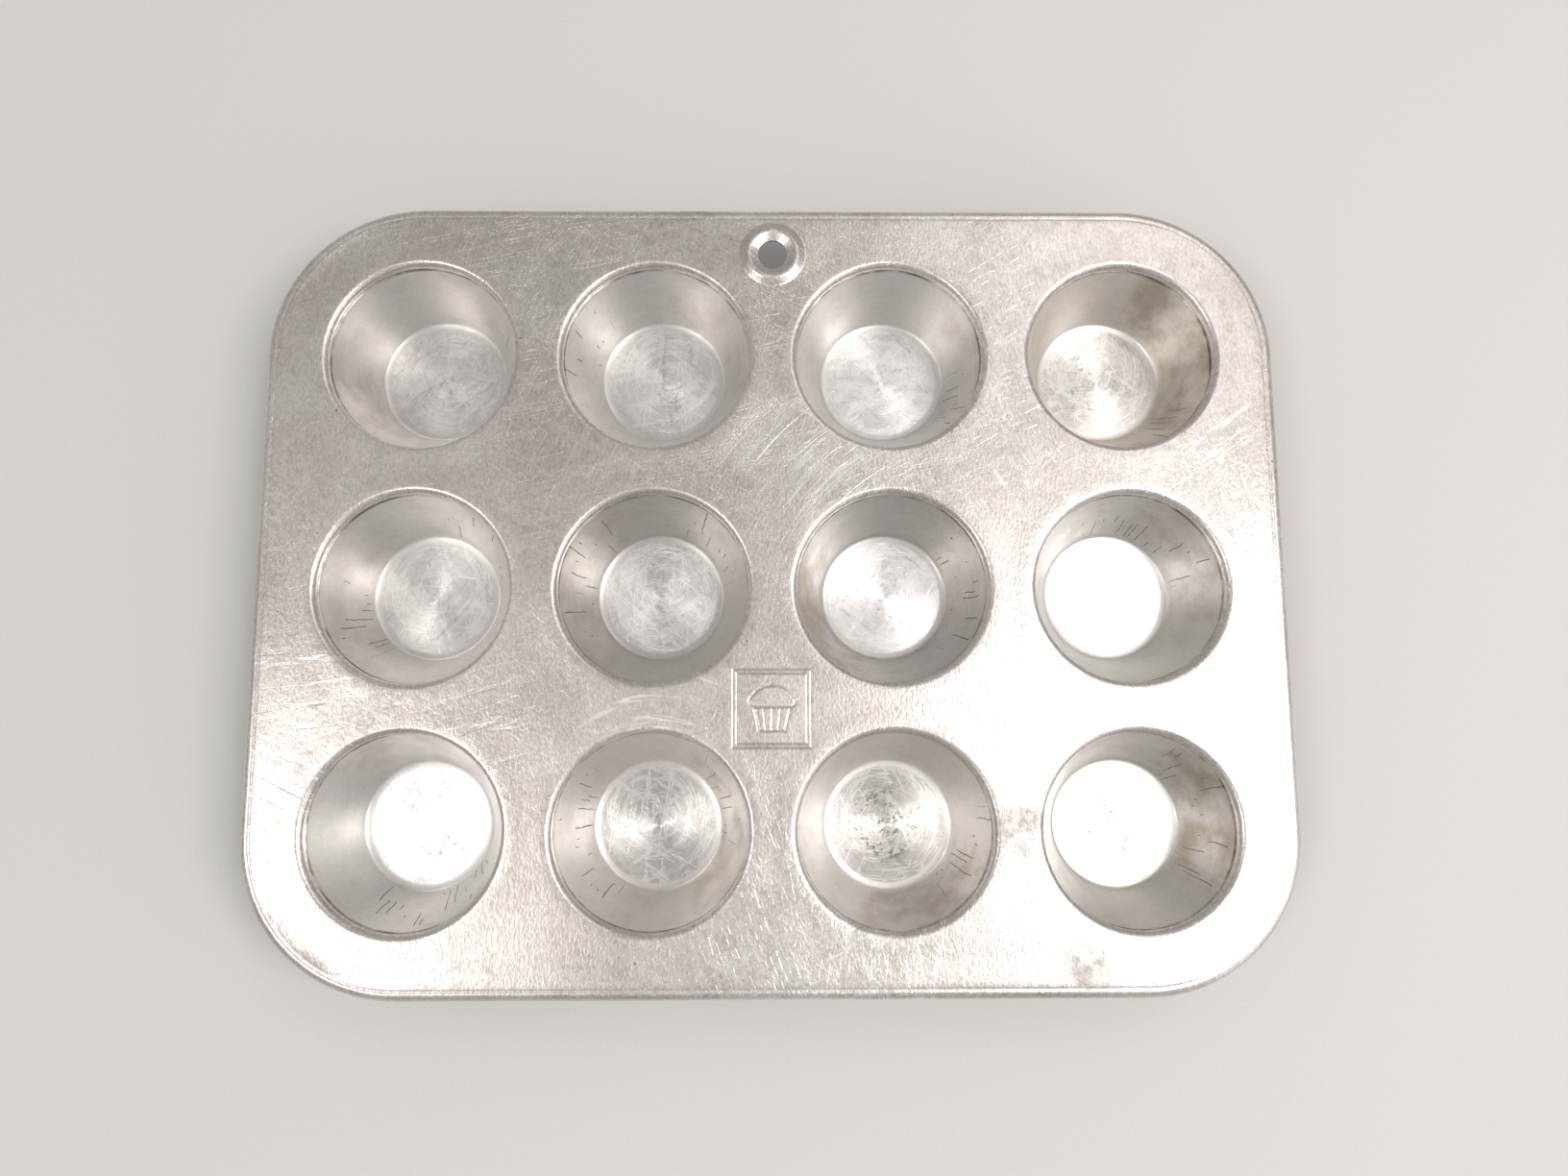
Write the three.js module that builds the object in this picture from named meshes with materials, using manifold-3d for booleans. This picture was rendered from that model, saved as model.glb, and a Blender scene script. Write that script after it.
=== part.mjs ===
// Twelve-cup muffin tin in aluminium sheet. Millimetres, +Z up.
//
// A flat frame sheet has its edge rolled round a steel wire, twelve mouths turned down into
// short collars, and a hang hole in a raised ring. Each cup is a separate drawn shell whose
// rim wraps round the flange of its collar. The origin is the centre of the footprint, on the
// surface that the cup floors stand on. The hang hole is on the +Y side.
import * as THREE from 'three';
import { mergeVertices } from 'three/addons/utils/BufferGeometryUtils.js';
import Module from 'manifold-3d';

// Whole tin.
const LENGTH = 355.6;
const WIDTH = 274;
const SHEET_TOP = 31.75;
const COLUMNS = 4;
const ROWS = 3;
const PITCH = 82.6;
const CORNER_RADIUS = 54;
const FIT_GAP = 0.3;

// Sheet thicknesses.
const FRAME_THICKNESS = 0.8;
const CUP_THICKNESS = 0.7;

// Mouth of each cup: the frame turns down over a round lip into a collar with a flange.
const MOUTH_RADIUS = 32.9;
const LIP_RADIUS = 2.3;
const COLLAR_DEPTH = 3.9;
const COLLAR_BEND = 1;
const FLANGE_RADIUS = 36.3;

// Cup: flat floor, round corner, straight tapered wall, rim folded over the flange.
const FLOOR_RADIUS = 23.4;
const FLOOR_BEND = 2.9;
const CUP_RIM_BEND = 0.9;
const FOLD_END_RADIUS = 34.9;

// Rolled edge and the wire in it.
const BEAD_RADIUS = 2.8;
const CURL_DEGREES = 300;
const WIRE_RADIUS = 1.6;

// Hang hole and its raised ring.
const HANG_HOLE_Y = 119.8;
const HANG_HOLE_RADIUS = 5.2;
const HANG_CREST_RADIUS = 8.7;
const HANG_FOOT_RADIUS = 12.6;
const HANG_RING_HEIGHT = 1.5;

// Facets, and the width by which joined stretches of one sheet run into each other.
const MOUTH_SEGMENTS = 24;
const HANG_SEGMENTS = 20;
const CORNER_SEGMENTS = 6;
const CURL_STEPS = 10;
const WIRE_SIDES = 8;
const WELD = 0.8;

const aluminium = { color: 0xbcb8b3, roughness: 0.42, metalness: 1 };
const drawnAluminium = { color: 0xb2aea8, roughness: 0.36, metalness: 1 };
const galvanisedSteel = { color: 0x8d9194, roughness: 0.5, metalness: 1 };

// One side of a bent sheet, as points: straight runs with a round bend at each corner.
// A corner is [x, y, radius, steps], and a corner without a radius stays a plain point.
function bentLine(corners) {
  const places = corners.map(([x, y]) => new THREE.Vector2(x, y));
  return places.flatMap((corner, i) => {
    const [, , radius, steps] = corners[i];
    if (!radius) return [corner];
    const back = places[i - 1].clone().sub(corner).normalize();
    const ahead = places[i + 1].clone().sub(corner).normalize();
    const halfAngle = Math.acos(back.dot(ahead)) / 2;
    const centre = back.clone().add(ahead).setLength(radius / Math.sin(halfAngle)).add(corner);
    const start = back.clone().multiplyScalar(radius / Math.tan(halfAngle)).add(corner);
    const sweep = (Math.PI - 2 * halfAngle) * Math.sign(ahead.cross(back));
    return Array.from({ length: steps + 1 }, (_, k) =>
      start.clone().rotateAround(centre, (sweep * k) / steps));
  });
}

// A sheet's section from one of its sides. A positive thickness puts the metal on the left of
// the line's direction and a negative one on its right. The outline runs counterclockwise.
function sheetSection(line, thickness) {
  const normals = line.slice(1).map((point, i) => {
    const run = point.clone().sub(line[i]).normalize();
    return new THREE.Vector2(-run.y, run.x);
  });
  const otherSide = line.map((point, i) => {
    const before = normals[Math.max(i - 1, 0)];
    const after = normals[Math.min(i, normals.length - 1)];
    const mitre = before.clone().add(after).normalize();
    return mitre.clone().multiplyScalar(thickness / mitre.dot(after)).add(point);
  });
  const outline = [...line, ...otherSide.reverse()];
  return thickness > 0 ? outline : outline.reverse();
}

// A body turned about the Z axis. A section that doesn't start on the axis is closed.
function turned(section, segments) {
  const outline = section[0].x > 0 ? [...section, section[0].clone()] : section;
  return new THREE.LatheGeometry(outline, segments).rotateX(Math.PI / 2);
}

// The place of column k of a body that follows the tin's rounded-rectangle edge, for a point
// at radius r from the corner's centre. Each corner takes CORNER_SEGMENTS + 1 columns.
function edgePlace(k, r) {
  const perCorner = CORNER_SEGMENTS + 1;
  const corner = Math.floor(k / perCorner) % 4;
  const turn = (corner + (k % perCorner) / CORNER_SEGMENTS) * Math.PI / 2;
  const sideX = corner === 0 || corner === 3 ? 1 : -1;
  const sideY = corner < 2 ? 1 : -1;
  return new THREE.Vector2(
    sideX * (LENGTH / 2 - CORNER_RADIUS) + r * Math.cos(turn),
    sideY * (WIDTH / 2 - CORNER_RADIUS) + r * Math.sin(turn),
  );
}

// A section carried round the tin's edge: a turned ring whose columns are moved out to the
// four corners, so that the faces between two corners become the straight sides.
function carriedRoundEdge(section) {
  const columns = 4 * (CORNER_SEGMENTS + 1);
  const ring = turned(section, columns);
  const position = ring.attributes.position;
  const perColumn = section.length + 1;
  for (let i = 0; i < position.count; i += 1) {
    const column = Math.floor(i / perColumn) % columns;
    const radius = section[(i % perColumn) % section.length].x;
    const place = edgePlace(column, radius);
    position.setXY(i, place.x, place.y);
  }
  return ring;
}

function circleOutline(radius, segments, centreX, centreY) {
  return Array.from({ length: segments }, (_, k) => {
    const turn = (k / segments) * 2 * Math.PI;
    return new THREE.Vector2(centreX + radius * Math.cos(turn), centreY + radius * Math.sin(turn));
  });
}

// Cup centres, row by row from the hang-hole side, and along each row from -X.
const cupPlaces = Array.from({ length: ROWS * COLUMNS }, (_, i) => {
  const row = Math.floor(i / COLUMNS);
  const column = i % COLUMNS;
  return {
    name: `cup_row${row + 1}_col${column + 1}`,
    x: (column - (COLUMNS - 1) / 2) * PITCH,
    y: ((ROWS - 1) / 2 - row) * PITCH,
  };
});

// Flat sheet between the mouths, the hang ring and the rolled edge.
function flatSheet() {
  const edgeRadius = CORNER_RADIUS - BEAD_RADIUS - WELD;
  const columns = 4 * (CORNER_SEGMENTS + 1);
  const outline = new THREE.Shape(Array.from({ length: columns }, (_, k) => edgePlace(k, edgeRadius)));
  const mouthRadius = MOUTH_RADIUS + LIP_RADIUS + WELD / 2;
  outline.holes = cupPlaces.map(({ x, y }) =>
    new THREE.Path(circleOutline(mouthRadius, MOUTH_SEGMENTS, x, y)));
  const ringRadius = HANG_FOOT_RADIUS + WELD / 2;
  outline.holes.push(new THREE.Path(circleOutline(ringRadius, HANG_SEGMENTS, 0, HANG_HOLE_Y)));
  return new THREE.ExtrudeGeometry(outline, { depth: FRAME_THICKNESS, bevelEnabled: false })
    .translate(0, 0, SHEET_TOP - FRAME_THICKNESS);
}

// Lip, collar and flange at one mouth, from the flat sheet inward and down.
function mouthCollar() {
  const lowest = SHEET_TOP - COLLAR_DEPTH;
  const line = bentLine([
    [MOUTH_RADIUS + LIP_RADIUS + WELD, SHEET_TOP],
    [MOUTH_RADIUS, SHEET_TOP, LIP_RADIUS, 2],
    [MOUTH_RADIUS, lowest, COLLAR_BEND, 1],
    [FLANGE_RADIUS, lowest],
  ]);
  return turned(sheetSection(line, FRAME_THICKNESS), MOUTH_SEGMENTS);
}

// Raised ring round the hang hole, from the flat sheet inward to the hole's edge.
function hangRing() {
  const crest = SHEET_TOP + HANG_RING_HEIGHT;
  const line = bentLine([
    [HANG_FOOT_RADIUS + WELD, SHEET_TOP],
    [HANG_FOOT_RADIUS - 1, SHEET_TOP, 2, 1],
    [HANG_CREST_RADIUS, crest + 0.5, 2, 3],
    [HANG_HOLE_RADIUS, SHEET_TOP],
  ]);
  return turned(sheetSection(line, FRAME_THICKNESS), HANG_SEGMENTS);
}

// Rolled edge: the sheet runs out level, then curls down and back under itself.
function rolledEdge() {
  const curlCentre = new THREE.Vector2(CORNER_RADIUS - BEAD_RADIUS, SHEET_TOP - BEAD_RADIUS);
  const top = new THREE.Vector2(curlCentre.x, SHEET_TOP);
  const curl = Array.from({ length: CURL_STEPS + 1 }, (_, k) => {
    const turn = THREE.MathUtils.degToRad(CURL_DEGREES) * (k / CURL_STEPS);
    return top.clone().rotateAround(curlCentre, -turn);
  });
  const line = [new THREE.Vector2(curlCentre.x - 2 * WELD, SHEET_TOP), ...curl];
  return carriedRoundEdge(sheetSection(line, -FRAME_THICKNESS));
}

// Frame sheet: the flat sheet, the collars, the hang ring and the rolled edge as one piece.
async function frameSheetGeometry() {
  const wasm = await Module();
  wasm.setup();

  const toSolid = (geometry) => {
    const bare = geometry.clone();
    bare.deleteAttribute('normal');
    bare.deleteAttribute('uv');
    const merged = mergeVertices(bare);
    return new wasm.Manifold(new wasm.Mesh({
      numProp: 3,
      vertProperties: merged.attributes.position.array,
      triVerts: merged.index.array,
    }));
  };

  const collar = mouthCollar();
  const joined = [
    rolledEdge(),
    hangRing().translate(0, HANG_HOLE_Y, 0),
    ...cupPlaces.map(({ x, y }) => collar.clone().translate(x, y, 0)),
  ].reduce((solid, geometry) => solid.add(toSolid(geometry)), toSolid(flatSheet()));

  const mesh = joined.asOriginal().simplify(1e-4).getMesh();
  const geometry = new THREE.BufferGeometry();
  geometry.setAttribute('position', new THREE.BufferAttribute(mesh.vertProperties, 3));
  geometry.setIndex(new THREE.BufferAttribute(mesh.triVerts, 1));
  geometry.computeVertexNormals();
  return geometry;
}

// One drawn cup: floor, tapered wall, and the rim that wraps over the collar's flange.
function cupGeometry() {
  const floor = CUP_THICKNESS;
  const rimTop = SHEET_TOP - COLLAR_DEPTH - FIT_GAP;
  const foldRadius = FLANGE_RADIUS + FIT_GAP;
  const foldTop = SHEET_TOP - COLLAR_DEPTH + FRAME_THICKNESS + FIT_GAP;
  const line = bentLine([
    [0, floor],
    [FLOOR_RADIUS, floor, FLOOR_BEND, 1],
    [MOUTH_RADIUS, rimTop, CUP_RIM_BEND, 1],
    [foldRadius, rimTop],
    [foldRadius, foldTop],
    [FOLD_END_RADIUS, foldTop],
  ]);
  return turned(sheetSection(line, -CUP_THICKNESS), MOUTH_SEGMENTS);
}

// Wire inside the rolled edge, one closed loop.
function rimWireGeometry() {
  const section = circleOutline(
    WIRE_RADIUS, WIRE_SIDES, CORNER_RADIUS - BEAD_RADIUS, SHEET_TOP - BEAD_RADIUS);
  return carriedRoundEdge(section);
}

function namedMesh(name, geometry, look) {
  const mesh = new THREE.Mesh(geometry, new THREE.MeshStandardMaterial(look));
  mesh.name = name;
  return mesh;
}

const tin = new THREE.Group();
tin.add(namedMesh('frame_sheet', await frameSheetGeometry(), aluminium));
tin.add(namedMesh('rim_wire', rimWireGeometry(), galvanisedSteel));

const cups = new THREE.Group();
cupPlaces.forEach(({ name, x, y }) => {
  const cup = namedMesh(name, cupGeometry(), drawnAluminium);
  cup.position.set(x, y, 0);
  cups.add(cup);
});
tin.add(cups);

export default tin;
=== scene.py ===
# Twelve-cup muffin tin: a frame sheet with a wired edge, and twelve drawn cups crimped into it.
# Metres, +Z up, in the frame of the CAD model. The hang hole is on the +Y side.
import math

import bpy
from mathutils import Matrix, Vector
from mathutils.geometry import delaunay_2d_cdt


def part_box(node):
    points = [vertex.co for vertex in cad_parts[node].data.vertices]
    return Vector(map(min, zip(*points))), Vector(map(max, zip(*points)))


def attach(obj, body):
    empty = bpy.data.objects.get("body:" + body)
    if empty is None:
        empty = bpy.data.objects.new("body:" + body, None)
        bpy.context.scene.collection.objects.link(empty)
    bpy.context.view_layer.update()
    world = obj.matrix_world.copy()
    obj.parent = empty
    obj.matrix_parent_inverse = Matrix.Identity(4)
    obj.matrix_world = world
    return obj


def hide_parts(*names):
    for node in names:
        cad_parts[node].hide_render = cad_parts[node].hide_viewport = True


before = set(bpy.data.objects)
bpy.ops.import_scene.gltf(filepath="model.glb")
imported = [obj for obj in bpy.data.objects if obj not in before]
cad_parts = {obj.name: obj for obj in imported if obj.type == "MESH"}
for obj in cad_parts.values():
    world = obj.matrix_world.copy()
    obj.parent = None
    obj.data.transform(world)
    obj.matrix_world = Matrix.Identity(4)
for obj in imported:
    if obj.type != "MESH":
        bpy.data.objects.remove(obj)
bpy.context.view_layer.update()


# ---------------------------------------------------------------------------------------------
# Frame sheet. One pressed aluminium sheet, 0.8 mm thick: flat top, twelve round mouths turned
# down into collars with a flange, a raised ring round the hang hole, a stamped badge, and the
# edge rolled round a wire.

MM = 0.001
SHEET_THICKNESS = 0.8 * MM
CORNER_RADIUS = 54 * MM
PITCH = 82.6 * MM
ROWS, COLUMNS = 3, 4

sheet_low, sheet_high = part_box("frame_sheet")
HALF_LENGTH = (sheet_high.x - sheet_low.x) / 2
HALF_WIDTH = (sheet_high.y - sheet_low.y) / 2

# The bead's crown stands level with the flat sheet, and only the hang ring is higher.
SHEET_TOP = 31.75 * MM

# Mouth: a round lip, a short upright collar, and a flange turned out under the sheet.
MOUTH_RADIUS = 32.9 * MM
LIP_RADIUS = 2.3 * MM
COLLAR_DEPTH = 3.95 * MM
COLLAR_BEND = 1.0 * MM
FLANGE_RADIUS = 36.3 * MM
MOUTH_STEPS = 96

# Rolled edge, with the shallow crease that the rolling tool leaves along its inner side.
BEAD_RADIUS = 2.8 * MM
CREASE_WIDTH = 1.6 * MM
CREASE_DEPTH = 0.12 * MM
CURL_TURN = math.radians(300)
CURL_STEPS = 26
CORNER_STEPS = 30
EDGE_SPACING = 4 * MM
EDGE_INSET = BEAD_RADIUS + CREASE_WIDTH

# Hang hole and its ring.
HANG_CENTRE = Vector((0, 119.8 * MM))
HANG_HOLE_RADIUS = 5.2 * MM
HANG_CREST_RADIUS = 8.7 * MM
HANG_FOOT_RADIUS = 12.6 * MM
HANG_RING_HEIGHT = 1.5 * MM
HANG_STEPS = 72

# Slow waves that the press leaves in the flat part, and how far from its borders they begin.
WAVE_HEIGHT = 0.16 * MM
WAVE_MARGIN = 9 * MM

# Stamped badge: two thin square outlines round a plain outline of a muffin in its paper case,
# drawn as straight runs in millimetres from the badge's centre.
BADGE_CENTRE = Vector((-0.2 * MM, -41.6 * MM))
BADGE_HALF = 13.2 * MM
BADGE_INSET = 1.3 * MM
BADGE_DEPTH = 0.19 * MM
BADGE_LINE = 0.3 * MM
BADGE_MARGIN = 1.6 * MM
MUFFIN_RUNS = (
    ((-6.2, 0.4), (-4.4, -7.6), (4.4, -7.6), (6.2, 0.4)),
    ((-2.9, 0.0), (-2.1, -7.4)), ((0, 0.2), (0, -7.4)), ((2.9, 0.0), (2.1, -7.4)),
    ((-6.2, 0.4), (-7.6, 1.2), (-7.9, 2.9), (-6.7, 4.3), (-5.4, 5.9), (-3.0, 7.2), (0, 7.8),
     (3.0, 7.2), (5.4, 5.9), (6.7, 4.3), (7.9, 2.9), (7.6, 1.2), (6.2, 0.4), (-6.2, 0.4)),
)
muffin_runs = [(Vector(a) * MM, Vector(b) * MM)
               for run in MUFFIN_RUNS for a, b in zip(run, run[1:])]


def cup_centre(row, column):
    """Centre of a mouth, rows from the hang-hole side, columns from the -X side, both from 1."""
    return Vector(((column - (COLUMNS + 1) / 2) * PITCH, ((ROWS + 1) / 2 - row) * PITCH))


def bent_line(corners):
    """Points of a line whose corners are (across, up), or (across, up, radius, steps) if bent."""
    points = []
    for place, corner in enumerate(corners):
        here = Vector(corner[:2])
        if len(corner) == 2:
            points.append(here)
            continue
        radius, steps = corner[2:]
        back = (Vector(corners[place - 1][:2]) - here).normalized()
        on = (Vector(corners[place + 1][:2]) - here).normalized()
        half = math.acos(max(-1, min(1, back.dot(on)))) / 2
        centre = here + (back + on).normalized() * (radius / math.sin(half))
        first = here + back * (radius / math.tan(half)) - centre
        last = here + on * (radius / math.tan(half)) - centre
        whole = math.pi - 2 * half
        for step in range(steps + 1):
            share = step / steps
            mix = (first * math.sin((1 - share) * whole) + last * math.sin(share * whole))
            points.append(centre + mix / math.sin(whole))
    return points


def arc(centre, radius, start, end, steps):
    """Points of an arc, with its angles in degrees."""
    turns = [math.radians(start + (end - start) * k / steps) for k in range(steps + 1)]
    return [Vector(centre) + radius * Vector((math.cos(t), math.sin(t))) for t in turns]


def ring_of(centre, radius, steps):
    """Points round a whole circle."""
    turns = [2 * math.pi * k / steps for k in range(steps)]
    return [Vector(centre) + radius * Vector((math.cos(t), math.sin(t))) for t in turns]


def round_cornered_path(half_x, half_y, radius, corner_steps, spacing):
    """Points round a rectangle with round corners, and the outward direction at each."""
    path, outward = [], []
    for quarter, (sx, sy) in enumerate(((1, 1), (-1, 1), (-1, -1), (1, -1))):
        centre = Vector((sx * (half_x - radius), sy * (half_y - radius)))
        for step in range(corner_steps + 1):
            turn = (quarter + step / corner_steps) * math.pi / 2
            direction = Vector((math.cos(turn), math.sin(turn)))
            path.append(centre + radius * direction)
            outward.append(direction)
        following = ((-1, 1), (-1, -1), (1, -1), (1, 1))[quarter]
        corner = Vector((following[0] * (half_x - radius), following[1] * (half_y - radius)))
        end = corner + radius * direction
        count = int((end - path[-1]).length / spacing)
        start = path[-1].copy()
        for step in range(1, count):
            path.append(start.lerp(end, step / count))
            outward.append(direction)
    return path, outward


def stamped(x, y):
    """How deep in one of the badge's stamped lines a point is, from 0 to 1."""
    on_badge = Vector((x, y)) - BADGE_CENTRE
    square = max(abs(on_badge.x), abs(on_badge.y))
    if square > BADGE_HALF + 4 * BADGE_LINE:
        return 0.0
    lines = [abs(square - BADGE_HALF), abs(square - BADGE_HALF + BADGE_INSET)]
    for a, b in muffin_runs:
        share = max(0, min(1, (on_badge - a).dot(b - a) / (b - a).length_squared))
        lines.append((on_badge - a.lerp(b, share)).length)
    return math.exp(-(min(lines) / BADGE_LINE) ** 2)


def sheet_rise(x, y):
    """How far the flat sheet stands above or below true level: slow waves from the press, which
    die away at the mouths, the ring and the edge, and the badge's stamped lines."""
    wave = (0.5 * math.sin(x * 31 + 1.3) * math.cos(y * 37 - 0.4)
            + 0.3 * math.sin(x * 67 - y * 43 + 2.1) + 0.2 * math.cos(x * 23 + y * 89))
    clear = min(math.hypot(x - c.x, y - c.y) for c in mouths) - MOUTH_RADIUS - LIP_RADIUS
    clear = min(clear, math.hypot(x - HANG_CENTRE.x, y - HANG_CENTRE.y) - HANG_FOOT_RADIUS)
    clear = min(clear, HALF_LENGTH - EDGE_INSET - abs(x), HALF_WIDTH - EDGE_INSET - abs(y))
    fade = max(0.0, min(1.0, clear / WAVE_MARGIN))
    rise = WAVE_HEIGHT * (wave - 1) * fade * fade * (3 - 2 * fade)
    return rise - BADGE_DEPTH * stamped(x, y)


mouths = [cup_centre(row, column) for row in range(1, ROWS + 1) for column in range(1, COLUMNS + 1)]
mesh_points = []
mesh_faces = []


def join_loops(loops, outward=False):
    """Skins closed loops of mesh points, each a list of point numbers, that go in or outward."""
    for low, high in zip(loops, loops[1:]):
        for k in range(len(low)):
            on = (k + 1) % len(low)
            quad = (low[k], low[on], high[on], high[k])
            mesh_faces.append(quad[::-1] if outward else quad)


def carry(path, outward, section):
    """Adds a loop of points for each (across, height) of a section, and gives their numbers."""
    loops = []
    for across, height in section:
        start = len(mesh_points)
        mesh_points.extend((p.x + d.x * across, p.y + d.y * across, height)
                           for p, d in zip(path, outward))
        loops.append(list(range(start, start + len(path))))
    return loops


# The flat part is cut into triangles between its edge line, the mouths and the ring's foot.
edge_path, edge_outward = round_cornered_path(HALF_LENGTH - EDGE_INSET, HALF_WIDTH - EDGE_INSET,
                                              CORNER_RADIUS - EDGE_INSET, CORNER_STEPS,
                                              EDGE_SPACING)
hole_loops = [ring_of(c, MOUTH_RADIUS + LIP_RADIUS, MOUTH_STEPS) for c in mouths]
hole_loops.append(ring_of(HANG_CENTRE, HANG_FOOT_RADIUS, HANG_STEPS))
flat_points = list(edge_path)
flat_edges = [(k, (k + 1) % len(edge_path)) for k in range(len(edge_path))]
loop_starts = []
for loop in hole_loops:
    start = len(flat_points)
    loop_starts.append(start)
    flat_points.extend(loop)
    flat_edges.extend((start + k, start + (k + 1) % len(loop)) for k in range(len(loop)))
fixed_count = len(flat_points)


def inside_edge(x, y, margin):
    """Whether a point lies on the flat part, a margin or more from its outer border."""
    flat_x, flat_y = HALF_LENGTH - CORNER_RADIUS, HALF_WIDTH - CORNER_RADIUS
    over_x, over_y = max(0, abs(x) - flat_x), max(0, abs(y) - flat_y)
    return math.hypot(over_x, over_y) < CORNER_RADIUS - EDGE_INSET - margin


GRID = 3.6 * MM
GRID_CLEAR = 0.45 * GRID
BADGE_GRID = 0.3 * MM
SAME_POINT = 1e-7
row_gap = GRID * math.sqrt(3) / 2
badge_reach = BADGE_HALF + BADGE_MARGIN
for j in range(int(-HALF_WIDTH / row_gap), int(HALF_WIDTH / row_gap) + 1):
    for i in range(int(-HALF_LENGTH / GRID) - 1, int(HALF_LENGTH / GRID) + 1):
        x, y = (i + 0.5 * (j % 2)) * GRID, j * row_gap
        clear = min(math.hypot(x - c.x, y - c.y) for c in mouths) - MOUTH_RADIUS - LIP_RADIUS
        clear = min(clear, (Vector((x, y)) - HANG_CENTRE).length - HANG_FOOT_RADIUS)
        by_badge = max(abs(x - BADGE_CENTRE.x), abs(y - BADGE_CENTRE.y)) < badge_reach + GRID / 3
        if clear > GRID_CLEAR and inside_edge(x, y, GRID_CLEAR) and not by_badge:
            flat_points.append(Vector((x, y)))
badge_steps = int(2 * badge_reach / BADGE_GRID)
for j in range(badge_steps + 1):
    for i in range(badge_steps + 1):
        flat_points.append(BADGE_CENTRE + Vector((2 * badge_reach * (i / badge_steps - 0.5),
                                                  2 * badge_reach * (j / badge_steps - 0.5))))

cut = delaunay_2d_cdt(flat_points, flat_edges, [], 1, SAME_POINT)
cut_points, cut_faces, cut_from = cut[0], cut[2], cut[3]
flat_loops = {}
for number, sources in enumerate(cut_from):
    for source in sources:
        if source < fixed_count:
            flat_loops[source] = number
loop_of = {}
for which, start in enumerate(loop_starts):
    for k in range(len(hole_loops[which])):
        loop_of[flat_loops[start + k]] = which
for side, drop in ((1, 0.0), (-1, SHEET_THICKNESS)):
    start = len(mesh_points)
    mesh_points.extend((p.x, p.y, SHEET_TOP + sheet_rise(p.x, p.y) - drop) for p in cut_points)
    for face in cut_faces:
        holes = {loop_of.get(v, -1) for v in face}
        if len(holes) == 1 and -1 not in holes:
            continue
        a, b, c = (cut_points[v] for v in face)
        up = (b - a).cross(c - a) > 0
        corners = [start + v for v in face]
        mesh_faces.append(corners if up == (side == 1) else corners[::-1])
under = len(cut_points)


def matched(first, count, below=False):
    """Numbers of a flat loop's points, on the upper or the lower face."""
    return [flat_loops[first + k] + (under if below else 0) for k in range(count)]


# Mouths. The section runs from the upper face over the lip, down the collar, out along the
# flange, and back to the lower face.
lip_centre = (MOUTH_RADIUS + LIP_RADIUS, SHEET_TOP - LIP_RADIUS)
flange_low = SHEET_TOP - COLLAR_DEPTH
outside = arc(lip_centre, LIP_RADIUS, 90, 180, 10)[1:]
outside += bent_line([(MOUTH_RADIUS, SHEET_TOP - LIP_RADIUS),
                      (MOUTH_RADIUS, flange_low, COLLAR_BEND, 6),
                      (FLANGE_RADIUS, flange_low)])[1:]
inner_radius = MOUTH_RADIUS + SHEET_THICKNESS
inside = bent_line([(FLANGE_RADIUS, flange_low + SHEET_THICKNESS),
                    (inner_radius, flange_low + SHEET_THICKNESS,
                     COLLAR_BEND - SHEET_THICKNESS, 3),
                    (inner_radius, SHEET_TOP - LIP_RADIUS)])
inside += arc(lip_centre, LIP_RADIUS - SHEET_THICKNESS, 180, 90, 6)[1:-1]
for which, centre in enumerate(mouths):
    directions = ring_of((0, 0), 1, MOUTH_STEPS)
    middle = [centre] * MOUTH_STEPS
    loops = [matched(loop_starts[which], MOUTH_STEPS)]
    loops += carry(middle, directions, outside + inside)
    loops.append(matched(loop_starts[which], MOUTH_STEPS, below=True))
    join_loops(loops)

# Hang hole: the sheet rises to a round crest and falls to a clean punched bore. The corners lie
# a little beyond the crest and the foot, because their bends cut them off.
crest = SHEET_TOP + HANG_RING_HEIGHT
ring_top = bent_line([(HANG_FOOT_RADIUS, SHEET_TOP),
                      (HANG_FOOT_RADIUS - 0.9 * MM, SHEET_TOP, 1.6 * MM, 4),
                      (HANG_CREST_RADIUS, crest + 0.42 * MM, 2 * MM, 8),
                      (HANG_HOLE_RADIUS, SHEET_TOP + 0.1 * MM)])[1:]
ring_under = bent_line([(HANG_HOLE_RADIUS, SHEET_TOP - SHEET_THICKNESS + 0.1 * MM),
                        (HANG_CREST_RADIUS, crest - 0.35 * MM, 1.4 * MM, 8),
                        (HANG_FOOT_RADIUS - 1.1 * MM, SHEET_TOP - SHEET_THICKNESS, 2 * MM, 4),
                        (HANG_FOOT_RADIUS, SHEET_TOP - SHEET_THICKNESS)])[:-1]
directions = ring_of((0, 0), 1, HANG_STEPS)
loops = [matched(loop_starts[-1], HANG_STEPS)]
loops += carry([HANG_CENTRE] * HANG_STEPS, directions, ring_top + ring_under)
loops.append(matched(loop_starts[-1], HANG_STEPS, below=True))
join_loops(loops)

# Rolled edge: a crease, then over the wire, down, and back under the sheet.
bead_height = SHEET_TOP - BEAD_RADIUS
curl_end = 90 - math.degrees(CURL_TURN)
bead = [Vector((CREASE_WIDTH * share, SHEET_TOP - CREASE_DEPTH * math.sin(math.pi * share) ** 2))
        for share in (0.2, 0.35, 0.5, 0.65, 0.8)]
bead += arc((CREASE_WIDTH, bead_height), BEAD_RADIUS, 90, curl_end, CURL_STEPS)
bead += arc((CREASE_WIDTH, bead_height), BEAD_RADIUS - SHEET_THICKNESS, curl_end, 90, CURL_STEPS)
loops = [matched(0, len(edge_path))]
loops += carry(edge_path, edge_outward, bead)
loops.append(matched(0, len(edge_path), below=True))
join_loops(loops, outward=True)


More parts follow.
